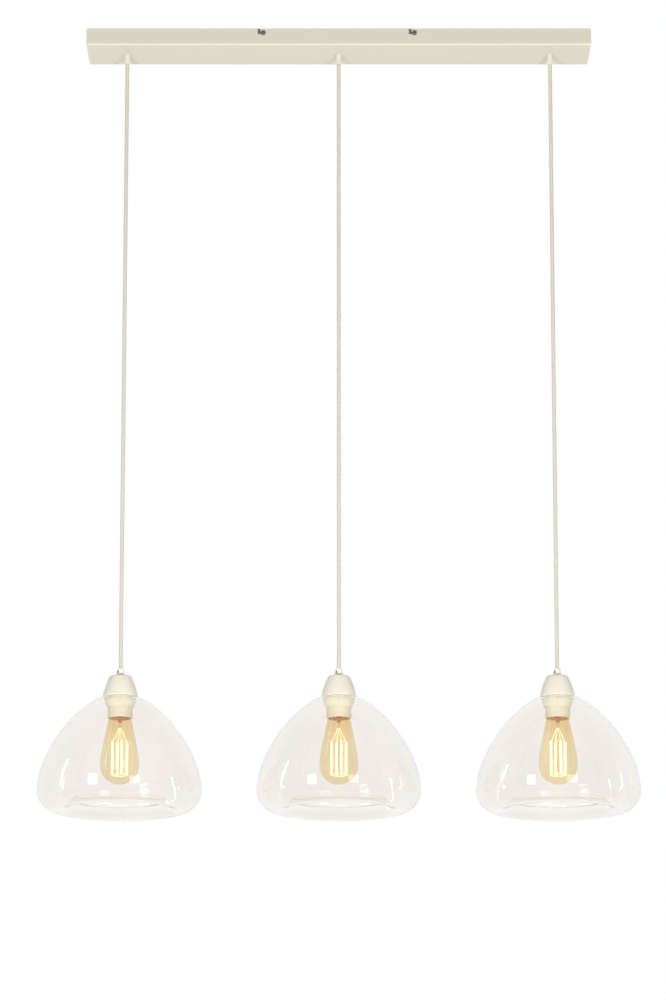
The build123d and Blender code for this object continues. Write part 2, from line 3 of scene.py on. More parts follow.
import bmesh
import bpy
from bpy.props import FloatProperty, FloatVectorProperty, IntProperty, PointerProperty
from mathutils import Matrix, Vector


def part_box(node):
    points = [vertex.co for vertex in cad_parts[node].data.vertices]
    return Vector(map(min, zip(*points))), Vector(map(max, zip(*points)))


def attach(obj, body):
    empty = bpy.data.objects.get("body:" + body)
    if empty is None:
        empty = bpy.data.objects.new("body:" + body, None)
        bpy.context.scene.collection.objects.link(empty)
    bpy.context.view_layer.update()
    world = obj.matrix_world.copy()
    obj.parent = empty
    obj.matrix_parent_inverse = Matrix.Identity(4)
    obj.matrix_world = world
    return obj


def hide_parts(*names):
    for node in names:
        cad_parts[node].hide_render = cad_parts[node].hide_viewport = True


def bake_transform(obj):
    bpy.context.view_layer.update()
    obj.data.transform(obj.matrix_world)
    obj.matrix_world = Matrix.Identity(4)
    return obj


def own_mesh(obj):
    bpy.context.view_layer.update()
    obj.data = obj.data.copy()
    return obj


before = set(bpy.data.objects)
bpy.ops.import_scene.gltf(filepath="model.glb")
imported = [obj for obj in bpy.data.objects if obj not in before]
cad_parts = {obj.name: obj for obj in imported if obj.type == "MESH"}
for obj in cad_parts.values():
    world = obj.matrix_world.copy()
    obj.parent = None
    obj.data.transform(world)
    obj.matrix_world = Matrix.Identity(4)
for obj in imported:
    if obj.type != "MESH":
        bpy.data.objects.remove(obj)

bl_info = {
    "name": "Bar Pendant Light",
    "version": (1, 0, 0),
    "blender": (4, 5, 0),
    "location": "View3D > Sidebar > Pendant",
    "description": "Dresses a three-light bar pendant and sets a plain studio around it",
    "category": "Object",
}

MM = 0.001

# In millimetres: where the pendants hang, how far a cord shortens, and the roll at a shade's foot
SIDES = {"left": -360.0, "middle": 0.0, "right": 360.0}
ROLL_RADIUS = 33.0


def level(node, top=False):
    """Height of a CAD node's lowest or highest point, in millimetres."""
    low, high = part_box(node)
    return (high if top else low).z / MM


# Heights of the stack below the ceiling, in millimetres
GRIP_END = level("canopy_grips")
FLEX_END = level("cord_flex_middle")
CORD_END = level("cord_middle")
CAP_TOP = level("cap_middle", top=True)
CAP_RIM = level("cap_middle")
SKIRT_END = level("lampholder_body_middle")
BULB_TIP = level("bulb_glass_middle")
SHADE_WIDE = level("shade_middle") + ROLL_RADIUS

# Places of a cord's route, as shares of its length
ROUTE_SHARES = (0.0, 0.2, 0.4, 0.6, 0.8, 1.0)


def linear(red, green, blue):
    """Colour from 8-bit display values."""

    def channel(value):
        value = value / 255
        return value / 12.92 if value <= 0.04045 else ((value + 0.055) / 1.055) ** 2.4

    return (channel(red), channel(green), channel(blue), 1.0)


WHITE = (1.0, 1.0, 1.0, 1.0)
BLACK = (0.0, 0.0, 0.0, 1.0)

# Colours of the pieces inside the bar and the lampholders
ZINC = linear(196, 198, 198)
BRASS = linear(218, 166, 96)
TERMINAL_WHITE = linear(226, 226, 220)
INSERT_WHITE = linear(228, 226, 218)
CORE_BROWN = linear(104, 62, 36)
CORE_BLUE = linear(38, 92, 178)
CORE_GREEN = linear(66, 142, 52)
CORE_YELLOW = linear(232, 208, 52)

# Tints of the glass: what its shadow lets through, and the zones that differ from the rest; the shade's
# lip is tinted paler, painted light that lifts the dark band refraction leaves on it
SHADE_SHADOW = (0.985, 0.98, 0.97, 1.0)
SHADE_LIP_PAINTED_LIGHT = (0.99, 0.985, 0.975, 1.0)
BULB_SHADOW = (0.95, 0.84, 0.62, 1.0)
BULB_NECK = (0.92, 0.79, 0.56, 1.0)
STEM_FACE = (0.95, 0.90, 0.80, 1.0)
STEM_EDGE = (0.7, 0.6, 0.45, 1.0)
STEM_SHADOW = (0.9, 0.85, 0.75, 1.0)
# Painted glow on the leads, which are wires and give no light of their own
LEAD_PAINTED_GLOW = (1.0, 0.93, 0.70, 1.0)


def swatch(name, description, colour):
    """A colour that a user may change."""
    return FloatVectorProperty(
        name=name, description=description, default=colour, subtype="COLOR", size=4, min=0.0, max=1.0
    )


def measure(name, description, default):
    """A length that a user may change."""
    return FloatProperty(name=name, description=description, default=default, unit="LENGTH")


def brightness(name, description, default):
    """A brightness that a user may change."""
    return FloatProperty(name=name, description=description, default=default, min=0.0)


class FinishSettings(bpy.types.PropertyGroup):
    """Colours of the light's finishes."""

    # Painted shade: the bar's cream is a darker copy of the cream on the caps
    bar: swatch("Bar", "Paint of the ceiling bar", linear(210, 205, 187))
    cap: swatch("Caps", "Paint of the caps", linear(233, 228, 211))
    cord: swatch("Cords", "Cover of the cords", linear(216, 208, 193))
    # Painted shade: the grips on the bar are the same nylon as the cap grips, made darker
    shaded_bar_grip: swatch("Bar grips", "Moulding of the grips on the bar", linear(226, 221, 207))
    grip: swatch("Cap grips", "Moulding of the grips on the caps", linear(243, 239, 225))
    holder: swatch("Lampholders", "Moulding of the lampholders and shade rings", linear(227, 220, 194))
    screw: swatch("Screws", "Dark steel screws", linear(112, 109, 98))
    shade: swatch("Glass", "Shade glass seen square on", (0.932, 0.913, 0.881, 1.0))
    # Painted light: the shade's glass is tinted paler where it turns away, lifting the dark outline
    # refraction gives it
    shade_edge_painted_light: swatch("Glass edge", "Shade glass where it turns away", (0.96, 0.955, 0.94, 1.0))
    bulb: swatch("Bulb", "Bulb glass seen square on", (0.964, 0.886, 0.704, 1.0))
    bulb_edge: swatch("Bulb edge", "Bulb glass where it turns away", (0.84, 0.66, 0.42, 1.0))
    stick: swatch("Light sticks", "Colour of the lit sticks", (1.0, 0.88, 0.48, 1.0))


class PendantSettings(bpy.types.PropertyGroup):
    """Sizes and levels that the dressing of the light starts from."""

    cord_diameter: measure("Cord diameter", "Outside diameter of each cord", 0.0065)
    cord_sides: IntProperty(name="Cord sides", description="Sides of a cord's tube", default=24, min=8)
    weave_pitch: measure("Weave pitch", "Length of one crossing of the cord's cover", 0.0024)
    shade_wall: measure("Glass wall", "Thickness of the shade's glass", 0.0025)
    shade_steps: IntProperty(name="Shade steps", description="Steps around a shade", default=192, min=48)
    bulb_wall: measure("Bulb wall", "Thickness of the bulb's glass", 0.0008)
    fitting_steps: IntProperty(
        name="Fitting steps", description="Steps around a turned fitting", default=96, min=24
    )
    glow: brightness("Glow", "Emission of the light sticks", 3.2)
    # The leads' emission is a painted glow: they are wires, not light sticks
    lead_painted_glow: brightness("Lead glow", "Emission of the lit leads between the sticks", 1.1)


class StageSettings(bpy.types.PropertyGroup):
    """Camera, lamps and floor of the studio."""

    camera_place: FloatVectorProperty(
        name="Camera",
        description="Where the camera stands",
        default=(-0.0097, -7.0, -2.425),
        subtype="TRANSLATION",
    )
    camera_pitch: FloatProperty(
        name="Pitch", description="How far the camera looks up", default=radians(13.008), subtype="ANGLE"
    )
    lens: FloatProperty(name="Lens", description="Focal length in millimetres", default=155.4)
    floor_height: measure("Floor", "Height of the floor below the ceiling", -3.2)
    world_level: brightness("World level", "Level of the even light", 0.5)
    front_level: brightness("Front lamps", "Brightness of the front lamps", 3.4)
    fill_level: brightness("Fill lamps", "Brightness of the two fill lamps", 900.0)
    back_level: brightness("Back lamp", "Brightness of the lamp behind", 7.0)
    floor_lamp_level: brightness("Floor lamp", "Brightness of the lamp that lights the undersides", 0.16)
    left_strip_level: brightness("Left strip", "Brightness of the strip lamp on the left", 8.0)
    right_strip_level: brightness("Right strip", "Brightness of the strip lamp on the right", 3.2)


class Field:
    """A shader socket that takes part in Python arithmetic."""

    def __init__(self, graph, socket):
        self.graph = graph
        self.socket = socket

    def _math(self, operation, first, second=0.0):
        node = self.graph.add("ShaderNodeMath", {"operation": operation}, {0: first, 1: second})
        return Field(self.graph, node.outputs[0])

    def __add__(self, other):
        return self._math("ADD", self, other)

    __radd__ = __add__

    def __sub__(self, other):
        return self._math("SUBTRACT", self, other)

    def __rsub__(self, other):
        return self._math("SUBTRACT", other, self)

    def __mul__(self, other):
        return self._math("MULTIPLY", self, other)

    __rmul__ = __mul__

    def __pow__(self, other):
        return self._math("POWER", self, other)

    def __rpow__(self, other):
        return self._math("POWER", other, self)

    def sine(self):
        return self._math("SINE", self)

    def maximum(self, other):
        return self._math("MAXIMUM", self, other)

    def swing(self, amount):
        """The field about zero instead of about a half, scaled to an amount."""
        return (self - 0.5) * amount

    def between(self, low, high):
        """Zero below the low value, one above the high value and a smooth step between them."""
        inputs = {"Value": self, "From Min": low, "From Max": high}
        node = self.graph.add("ShaderNodeMapRange", {"interpolation_type": "SMOOTHSTEP"}, inputs)
        return Field(self.graph, node.outputs["Result"])


class Graph:
    """A node tree whose nodes come from one method and from arithmetic on fields."""

    def __init__(self, tree):
        self.tree = tree
        tree.nodes.clear()

    def add(self, kind, settings=None, inputs=None):
        node = self.tree.nodes.new(kind)
        for key, value in (settings or {}).items():
            setattr(node, key, value)
        for key, value in (inputs or {}).items():
            self.feed(node.inputs[key], value)
        return node

    def feed(self, socket, value):
        if isinstance(value, Field):
            self.tree.links.new(value.socket, socket)
        else:
            socket.default_value = value

    def coordinates(self, kind="Object"):
        return Field(self, self.add("ShaderNodeTexCoord").outputs[kind])

    def parts(self, vector):
        node = self.add("ShaderNodeSeparateXYZ", None, {"Vector": vector})
        return [Field(self, output) for output in node.outputs]

    def stretched(self, vector, scale):
        node = self.add("ShaderNodeVectorMath", {"operation": "MULTIPLY"}, {0: vector, 1: scale})
        return Field(self, node.outputs[0])

    def noise(self, scale, detail=2.0, roughness=0.5, vector=None):
        source = vector if vector is not None else self.coordinates()
        inputs = {"Vector": source, "Scale": scale, "Detail": detail, "Roughness": roughness}
        return Field(self, self.add("ShaderNodeTexNoise", None, inputs).outputs["Fac"])

    def mix(self, factor, first, second):
        node = self.add("ShaderNodeMix", {"data_type": "RGBA"}, {0: factor, 6: first, 7: second})
        return Field(self, node.outputs[2])

    def toned(self, factor, colour, dark, light):
        """A colour that drifts between a darker and a lighter tone of itself."""
        return self.mix(factor, tone(colour, dark), tone(colour, light))

    def facing(self, blend):
        node = self.add("ShaderNodeLayerWeight", None, {"Blend": blend})
        return Field(self, node.outputs["Facing"])

    def bump(self, height, strength, distance):
        inputs = {"Height": height, "Strength": strength, "Distance": distance}
        return Field(self, self.add("ShaderNodeBump", None, inputs).outputs["Normal"])

    def ray(self, *kinds):
        """One for the kinds of ray that are named, and zero for the others."""
        path = self.add("ShaderNodeLightPath")
        found = [Field(self, path.outputs[kind]) for kind in kinds]
        total = found[0]
        for other in found[1:]:
            total = total.maximum(other)
        return total


class Finish(Graph):
    """A material built around one Principled shader."""

    def __init__(self, name):
        self.material = bpy.data.materials.new(name)
        self.material.use_nodes = True
        super().__init__(self.material.node_tree)
        self.principled = self.add("ShaderNodeBsdfPrincipled")
        self.surface = Field(self, self.principled.outputs[0])
        self.output = self.add("ShaderNodeOutputMaterial", None, {"Surface": self.surface})

    def shade(self, inputs):
        for key, value in inputs.items():
            self.feed(self.principled.inputs[key], value)
        return self.material

    def swap(self, factor, other):
        """Show another shader where the factor is one."""
        shaders = {0: factor, 1: self.surface, 2: Field(self, other.outputs[0])}
        self.surface = Field(self, self.add("ShaderNodeMixShader", None, shaders).outputs[0])
        self.feed(self.output.inputs["Surface"], self.surface)
        return self.material


def tone(colour, gain):
    """The same colour, lighter or darker."""
    return (colour[0] * gain, colour[1] * gain, colour[2] * gain, 1.0)


def bend_highlight_mask(graph):
    """Mask of a painted highlight: one along the bends between flat faces, and zero on the faces."""
    across, along, up = graph.parts(graph.coordinates("Normal"))
    return (1.0 - (across ** 4.0 + along ** 4.0 + up ** 4.0)) * 2.0


def paint(name, colour, roughness, grain, bend_highlight_gain=None):
    """Sprayed paint: fine orange peel, a slow drift of tone, and a painted highlight along the bends."""
    graph = Finish(name)
    drift = graph.noise(scale=9.0, detail=3.0)
    peel = graph.noise(scale=grain)
    speck = graph.noise(scale=grain * 3.1, detail=1.0)
    tint = graph.toned(drift * 0.7 + speck * 0.3, colour, dark=0.965, light=1.03)
    if bend_highlight_gain:
        # Painted highlight: a lighter tone of the paint along the bends
        tint = graph.mix(bend_highlight_mask(graph), tint, tone(colour, bend_highlight_gain))
    return graph.shade({
        "Base Color": tint,
        "Roughness": roughness + drift.swing(0.16) + speck.swing(0.1),
        "Normal": graph.bump(peel + speck * 0.35, strength=0.12, distance=0.0002),
        "Specular IOR Level": 0.4,
    })


def moulding(name, colour, roughness):
    """Moulded plastic: an even colour with a faint flow pattern and a fine tool texture."""
    graph = Finish(name)
    flow = graph.noise(scale=60.0, detail=4.0, roughness=0.6)
    tool = graph.noise(scale=2400.0, detail=1.0)
    return graph.shade({
        "Base Color": graph.toned(flow, colour, dark=0.96, light=1.03),
        "Roughness": roughness + flow.swing(0.14) + tool.swing(0.06),
        "Normal": graph.bump(tool, strength=0.08, distance=0.0001),
        "Specular IOR Level": 0.45,
    })


def metal(name, colour, roughness, stretch):
    """Bare or plated metal: drawn scratches, a cloudy surface and duller patches."""
    graph = Finish(name)
    grain = graph.stretched(graph.coordinates(), stretch)
    drawn = graph.noise(scale=900.0, detail=3.0, roughness=0.6, vector=grain)
    cloud = graph.noise(scale=55.0, detail=4.0, roughness=0.6)
    return graph.shade({
        "Base Color": graph.toned(cloud, colour, dark=0.82, light=1.08),
        "Metallic": 1.0,
        "Roughness": roughness + drawn.swing(0.22) + cloud.swing(0.18),
        "Normal": graph.bump(drawn, strength=0.1, distance=0.0001),
    })


def dark_steel(name, colour):
    """Blackened steel with brighter worn patches."""
    graph = Finish(name)
    wear = graph.noise(scale=420.0, detail=4.0, roughness=0.65)
    return graph.shade({
        "Base Color": graph.toned(wear.between(0.52, 0.74), colour, dark=1.0, light=2.6),
        "Metallic": 0.85,
        "Roughness": 0.26 + wear * 0.22,
        "Normal": graph.bump(wear, strength=0.15, distance=0.0001),
    })


def two_tone_core(name, first, second):
    """Wire insulation in two colours, laid along the lead in bands."""
    graph = Finish(name)
    x, y, z = graph.parts(graph.coordinates())
    bands = ((x + y * 0.7 + z * 1.3) * 1150.0).sine()
    sheen = graph.noise(scale=700.0)
    return graph.shade({
        "Base Color": graph.mix(bands.between(-0.08, 0.08), first, second),
        "Roughness": 0.3 + sheen * 0.2,
        "Normal": graph.bump(sheen, strength=0.05, distance=0.0001),
    })


def woven_cover(name, colour, crossings, along):
    """Round cord with a fine braided cover: strands cross around the tube."""
    graph = Finish(name)
    u, v, _ = graph.parts(graph.coordinates("UV"))
    left = (u * (2 * pi * crossings) + v * along).sine()
    right = (u * (2 * pi * crossings) - v * along).sine()
    braid = left * right * 0.5 + 0.5
    fuzz = graph.noise(scale=1800.0, detail=3.0, roughness=0.7)
    slow = graph.noise(scale=14.0, detail=3.0)
    shadow = braid.between(0.05, 0.75) * 0.75 + fuzz * 0.25
    return graph.shade({
        "Base Color": graph.toned(shadow * 0.8 + slow * 0.2, colour, dark=0.86, light=1.05),
        "Roughness": 0.78 + fuzz.swing(0.2),
        "Normal": graph.bump(braid + fuzz * 0.3, strength=0.35, distance=0.0002),
        "Sheen Weight": 0.15,
        "Specular IOR Level": 0.2,
    })


def mouth_lip(graph):
    """One on the turned-in edge of a shade's mouth, and zero elsewhere."""
    across, along, up = graph.parts(graph.coordinates("Generated"))
    reach = ((across - 0.5) ** 2.0 + (along - 0.5) ** 2.0) ** 0.5
    return (1.0 - reach.between(0.285, 0.31)) * (1.0 - up.between(0.10, 0.14))


def bulb_neck(graph):
    """One at the neck of a bulb, and zero from its belly down."""
    _, _, up = graph.parts(graph.coordinates("Generated"))
    return up.between(0.5, 0.85)


def clear_glass(name, face, edge, shadow, zone=None, zone_tint=None):
    """Blown glass: a faint tint that drifts, another where it turns away, and even light let through."""
    graph = Finish(name)
    upright = graph.stretched(graph.coordinates(), (4.0, 4.0, 1.2))
    streak = graph.noise(scale=3.0, vector=upright)
    cloud = graph.noise(scale=11.0)
    drift = (streak * 0.6 + cloud * 0.4).between(0.3, 0.7)
    turned = graph.facing(0.3) ** 2.2
    tint = graph.mix(turned, graph.toned(drift, face, dark=0.975, light=1.02), edge)
    graph.shade({
        "Base Color": graph.mix(zone(graph), tint, zone_tint) if zone else tint,
        "Roughness": 0.0,
        "Transmission Weight": 1.0,
        "IOR": 1.4,
    })
    clear = graph.add("ShaderNodeBsdfTransparent", None, {"Color": shadow})
    return graph.swap(graph.ray("Is Shadow Ray", "Is Diffuse Ray"), clear)


def light_stick(name, colour, strength):
    """Coated light stick, grained by the chips under its coat."""
    graph = Finish(name)
    grain = graph.noise(scale=700.0)
    return graph.shade({
        "Base Color": graph.toned(grain, colour, dark=0.8, light=1.0),
        "Roughness": 0.6,
        "Emission Color": graph.toned(grain.between(0.3, 0.7), colour, dark=0.82, light=1.0),
        "Emission Strength": strength,
    })


def arc(centre, radius, start, end, count):
    """Points on an arc, from one angle to another in degrees."""
    angles = [radians(start + (end - start) * k / count) for k in range(count + 1)]
    return [(centre[0] + radius * cos(a), centre[1] + radius * sin(a)) for a in angles]


def through(first, middle, last, count):
    """Points on the arc through three points."""
    (ax, ay), (bx, by), (cx, cy) = first, middle, last
    twice = 2 * (ax * (by - cy) + bx * (cy - ay) + cx * (ay - by))
    a2, b2, c2 = ax * ax + ay * ay, bx * bx + by * by, cx * cx + cy * cy
    x = (a2 * (by - cy) + b2 * (cy - ay) + c2 * (ay - by)) / twice
    y = (a2 * (cx - bx) + b2 * (ax - cx) + c2 * (bx - ax)) / twice
    start = degrees(atan2(ay - y, ax - x))
    end = degrees(atan2(cy - y, cx - x))
    return arc((x, y), hypot(ax - x, ay - y), start, end, count)


def inset(chain, wall):
    """The chain moved to its right by a wall."""
    moved = []
    for k, (r, z) in enumerate(chain):
        before, after = chain[max(k - 1, 0)], chain[min(k + 1, len(chain) - 1)]
        dr, dz = after[0] - before[0], after[1] - before[1]
        size = hypot(dr, dz)
        moved.append((r + dz / size * wall, z - dr / size * wall))
    return moved


def shade_chain(wall):
    """One face of a shade, from its hole to the edge of its mouth, in arcs that meet smoothly."""
    wide, hole, crown_reach = 135.0, 21.0, 50.0
    side_angle, mouth_angle = 19.3, -154.2
    side_radius, dome_radius, crown_radius, mouth_radius = 125.0, 221.0, 56.0, 30.0
    side, roll = (wide - side_radius, 0.0), (wide - ROLL_RADIUS, 0.0)
    shift = dome_radius - side_radius
    dome = (side[0] - shift * cos(radians(side_angle)), -shift * sin(radians(side_angle)))
    crown_angle = degrees(acos((crown_reach - dome[0]) / dome_radius))
    rise = dome_radius - crown_radius
    crown = (dome[0] + rise * cos(radians(crown_angle)), dome[1] + rise * sin(radians(crown_angle)))
    hole_angle = degrees(acos((hole - crown[0]) / (crown_radius - wall)))
    mouth = (roll[0], mouth_radius - ROLL_RADIUS)
    chain = arc(crown, crown_radius - wall, hole_angle, crown_angle, 10)
    chain += arc(dome, dome_radius - wall, crown_angle, side_angle, 28)[1:]
    chain += arc(side, side_radius - wall, side_angle, 0.0, 14)[1:]
    chain += arc(roll, ROLL_RADIUS - wall, 0.0, -90.0, 26)[1:]
    chain += arc(mouth, mouth_radius - wall, -90.0, mouth_angle, 18)[1:]
    return [(r, z + SHADE_WIDE) for r, z in chain]


def shade_loop(wall):
    """Closed section of a shade, with a fire-rounded edge at the mouth."""
    outer, inner = shade_chain(0.0), shade_chain(wall)
    middle = ((outer[-1][0] + inner[-1][0]) / 2, (outer[-1][1] + inner[-1][1]) / 2)
    start = degrees(atan2(outer[-1][1] - middle[1], outer[-1][0] - middle[0]))
    return outer + arc(middle, wall / 2, start, start - 180.0, 8)[1:-1] + inner[::-1]


def bulb_chain(wall):
    """One face of the bulb's envelope, from its neck down to its tip."""
    radius, belly_radius, cone, neck = 32.0, 128.0, 11.5, 12.2 - wall
    wide, brow = BULB_TIP + radius, SKIRT_END + 2.0
    belly = arc((radius - belly_radius, wide), belly_radius - wall, cone, 0.0, 14)
    top_r, top_z = belly[0]
    brow_r = top_r - (brow - top_z) * tan(radians(cone))
    # Steps out from the neck and in from the brow, with heights above the end of the skirt
    chain = [(neck + out, SKIRT_END + height) for out, height in ((0.0, 15.0), (0.0, 10.0), (0.8, 8.2))]
    chain += [(brow_r - 1.1, SKIRT_END + 3.2)]
    steps = 10
    chain += [
        (brow_r + (top_r - brow_r) * k / steps, brow + (top_z - brow) * k / steps) for k in range(steps)
    ]
    return chain + belly + arc((0.0, wide), radius - wall, 0.0, -90.0, 28)[1:]


def cap_loop():
    """Closed section of a cap: flat top, rounded shoulder, bulging side and a plain rim."""
    bore, halfway, flat, rim, wall = 5.1, 10.0, 14.5, 28.0, 1.2
    edge, turn, foot = (flat, CAP_TOP), (16.6, CAP_TOP - 0.85), (17.8, CAP_TOP - 2.6)
    bulge = (23.9, (foot[1] + CAP_RIM) / 2 + 0.5)
    shoulder = through(edge, turn, foot, 8)
    side = through(foot, bulge, (rim, CAP_RIM), 24)
    outer = [(bore, CAP_TOP), (halfway, CAP_TOP), edge] + shoulder[1:] + side[1:]
    inner = inset(outer, -wall)
    lift, round_off = 0.02, 0.3
    inner[-1] = (rim - wall, CAP_RIM + lift)
    return outer + [(rim - round_off, CAP_RIM + lift)] + inner[::-1]


def finish_piece(work, name, sharp_from, material):
    """Put a mesh that is done into the scene, as a piece with its own slot."""
    bmesh.ops.recalc_face_normals(work, faces=work.faces)
    mesh = bpy.data.meshes.new(name)
    work.to_mesh(mesh)
    work.free()
    mesh.shade_smooth()
    mesh.set_sharp_from_angle(angle=radians(sharp_from))
    mesh.materials.append(material)
    piece = bpy.data.objects.new(name, mesh)
    bpy.context.scene.collection.objects.link(piece)
    return piece


def lathe(name, x, section, steps, material):
    """Turn a closed section about an upright axis at x into a piece."""
    work = bmesh.new()
    rings = []
    for k in range(steps):
        c, s = cos(2 * pi * k / steps), sin(2 * pi * k / steps)
        rings.append([work.verts.new(((x + r * c) * MM, r * s * MM, z * MM)) for r, z in section])
    count = len(section)
    for here, there in zip(rings, rings[1:] + rings[:1]):
        for j in range(count):
            i = (j + 1) % count
            work.faces.new((here[j], here[i], there[i], there[j]))
    bmesh.ops.remove_doubles(work, verts=work.verts, dist=1e-7)
    return finish_piece(work, name, 32.0, material)


def route_points(name, points):
    """Points of one smooth spline that has the route's points as its control points."""
    curve = bpy.data.curves.new(name, "CURVE")
    curve.dimensions = "3D"
    curve.resolution_u = 60
    spline = curve.splines.new("NURBS")
    spline.points.add(len(points) - 1)
    for point, place in zip(spline.points, points):
        point.co = (*place, 1.0)
    spline.order_u = 3
    spline.use_endpoint_u = True
    guide = bpy.data.objects.new(name, curve)
    bpy.context.scene.collection.objects.link(guide)
    bpy.context.view_layer.update()
    line = bpy.data.meshes.new_from_object(guide)
    found = [vertex.co.copy() for vertex in line.vertices]
    bpy.data.objects.remove(guide)
    bpy.data.curves.remove(curve)
    bpy.data.meshes.remove(line)
    return found


def upright_tube(name, points, settings, material):
    """Round tube of a cord along upright points, with UV around and along it."""
    sides, radius = settings.cord_sides, settings.cord_diameter / 2
    work = bmesh.new()
    layer = work.loops.layers.uv.new("UVMap")
    turns = [2 * pi * k / sides for k in range(sides)]
    spokes = [Vector((cos(turn), sin(turn), 0.0)) * radius for turn in turns]
    rings = [[work.verts.new(place + spoke) for spoke in spokes] for place in points]
    for row in range(len(points) - 1):
        for k in range(sides):
            i = (k + 1) % sides
            face = work.faces.new((rings[row][k], rings[row + 1][k], rings[row + 1][i], rings[row][i]))
            places = ((k, row), (k, row + 1), (k + 1, row + 1), (k + 1, row))
            for loop, (around, along) in zip(face.loops, places):
                loop[layer].uv = (around / sides, points[along].z)
    work.faces.new(rings[0])
    work.faces.new(rings[-1][::-1])
    return finish_piece(work, name, 50.0, material)


def dress(nodes, material):
    """Give CAD nodes a finished material."""
    for node in nodes:
        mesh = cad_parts[node].data
        mesh.materials.clear()
        mesh.materials.append(material)


def each(stem):
    """Names of one kind of node on all three pendants."""
    return [f"{stem}_{side}" for side in SIDES]


class PENDANT_OT_bar(bpy.types.Operator):
    """Finish the ceiling bar, its bracket, screws and wiring"""

    bl_idname = "pendant.bar"
    bl_label = "Finish Bar"

    def execute(self, context):
        colours = context.scene.pendant_finish
        # The bar's bends get a painted highlight, 1.2 times the paint's tone
        bar_paint = paint("bar_paint", colours.bar, roughness=0.38, grain=900.0, bend_highlight_gain=1.2)
        # The bar wears the darker copy of the cream paint, as painted shade
        dress(["canopy_housing"], bar_paint)
        zinc = metal("zinc_plate", ZINC, roughness=0.36, stretch=(1.0, 6.0, 6.0))
        dress(["grip_nuts", "earth_screw"], zinc)
        steel = dark_steel("dark_steel", colours.screw)
        dress(["ceiling_bracket", "canopy_screws", *each("grip_screw")], steel)
        dress(["terminal_block"], moulding("terminal_white", TERMINAL_WHITE, roughness=0.42))
        brass = metal("plain_brass", BRASS, roughness=0.3, stretch=(1.0, 1.0, 6.0))
        contacts = [*each("lampholder_contacts"), *each("bulb_cap"), *each("bulb_tip")]
        dress(["terminal_screws", *contacts], brass)
        dress(["live_cores"], moulding("brown_core", CORE_BROWN, roughness=0.34))
        dress(["neutral_cores"], moulding("blue_core", CORE_BLUE, roughness=0.34))
        dress(["earth_lead"], two_tone_core("earth_core", CORE_GREEN, CORE_YELLOW))
        return {"FINISHED"}


class PENDANT_OT_cords(bpy.types.Operator):
    """Hang the three cords from the bar"""

    bl_idname = "pendant.cords"
    bl_label = "Hang Cords"

    def execute(self, context):
        settings = context.scene.pendant_settings
        colours = context.scene.pendant_finish
        cover = woven_cover("cord_cover", colours.cord, crossings=8.0, along=pi / settings.weave_pitch)
        dress(["cord_tails"], moulding("cord_tail", colours.cord, roughness=0.7))
        for side, x in SIDES.items():
            self.hang(side, x, cover, settings)
        return {"FINISHED"}

    def hang(self, side, x, cover, settings):
        """Make one cord: its straight run and the short neck that bends at the grip."""
        top, end = FLEX_END * MM, CORD_END * MM
        places = [(x * MM, 0.0, top + (end - top) * share) for share in ROUTE_SHARES]
        line = route_points(f"route_{side}", places)
        run = upright_tube(f"cord_run_{side}", line, settings, cover)
        rows = 10
        heights = [GRIP_END + (FLEX_END - GRIP_END) * k / rows for k in range(rows + 1)]
        bend = [Vector((x * MM, 0.0, height * MM)) for height in heights]
        neck = upright_tube(f"cord_bend_{side}", bend, settings, cover)
        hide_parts(f"cord_{side}")
        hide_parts(f"cord_flex_{side}")
        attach(run, f"run_{side}")
        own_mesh(run)
        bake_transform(neck)


class PENDANT_OT_shades(bpy.types.Operator):
    """Blow the three glass shades"""

    bl_idname = "pendant.shades"
    bl_label = "Blow Shades"

    def execute(self, context):
        settings = context.scene.pendant_settings
        colours = context.scene.pendant_finish
        # The paler edge tint of the shade is painted light over its dark refracted outline
        tints = (colours.shade, colours.shade_edge_painted_light, SHADE_SHADOW)
        # The lip's paler tint is painted light over the dark band that refraction gives it
        glass = clear_glass("shade_glass", *tints, zone=mouth_lip, zone_tint=SHADE_LIP_PAINTED_LIGHT)
        loop = shade_loop(settings.shade_wall / MM)
        for side, x in SIDES.items():
            shade = lathe(f"glass_shade_{side}", x, loop, settings.shade_steps, glass)
            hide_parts(f"shade_{side}")
            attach(shade, f"pendant_{side}")
        return {"FINISHED"}


class PENDANT_OT_fittings(bpy.types.Operator):
    """Turn the grips, caps, shade rings and lampholders"""

    bl_idname = "pendant.fittings"
    bl_label = "Turn Fittings"

    def execute(self, context):
        steps = context.scene.pendant_settings.fitting_steps
        colours = context.scene.pendant_finish
        # The grips on the bar get a darker copy of the grips' nylon: painted shade
        dress(["canopy_grips"], moulding("shaded_bar_nylon", colours.shaded_bar_grip, roughness=0.46))
        dress(each("cord_grip"), moulding("cap_nylon", colours.grip, roughness=0.46))
        holder = moulding("holder_cream", colours.holder, roughness=0.3)
        dress([*each("shade_ring"), *each("lampholder_body")], holder)
        dress(each("lampholder_insert"), moulding("insert_white", INSERT_WHITE, roughness=0.5))
        cap_paint = paint("cap_paint", colours.cap, roughness=0.42, grain=1100.0)
        for side, x in SIDES.items():
            cap = lathe(f"spun_cap_{side}", x, cap_loop(), steps, cap_paint)
            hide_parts(f"cap_{side}")
            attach(cap, f"pendant_{side}")
        return {"FINISHED"}


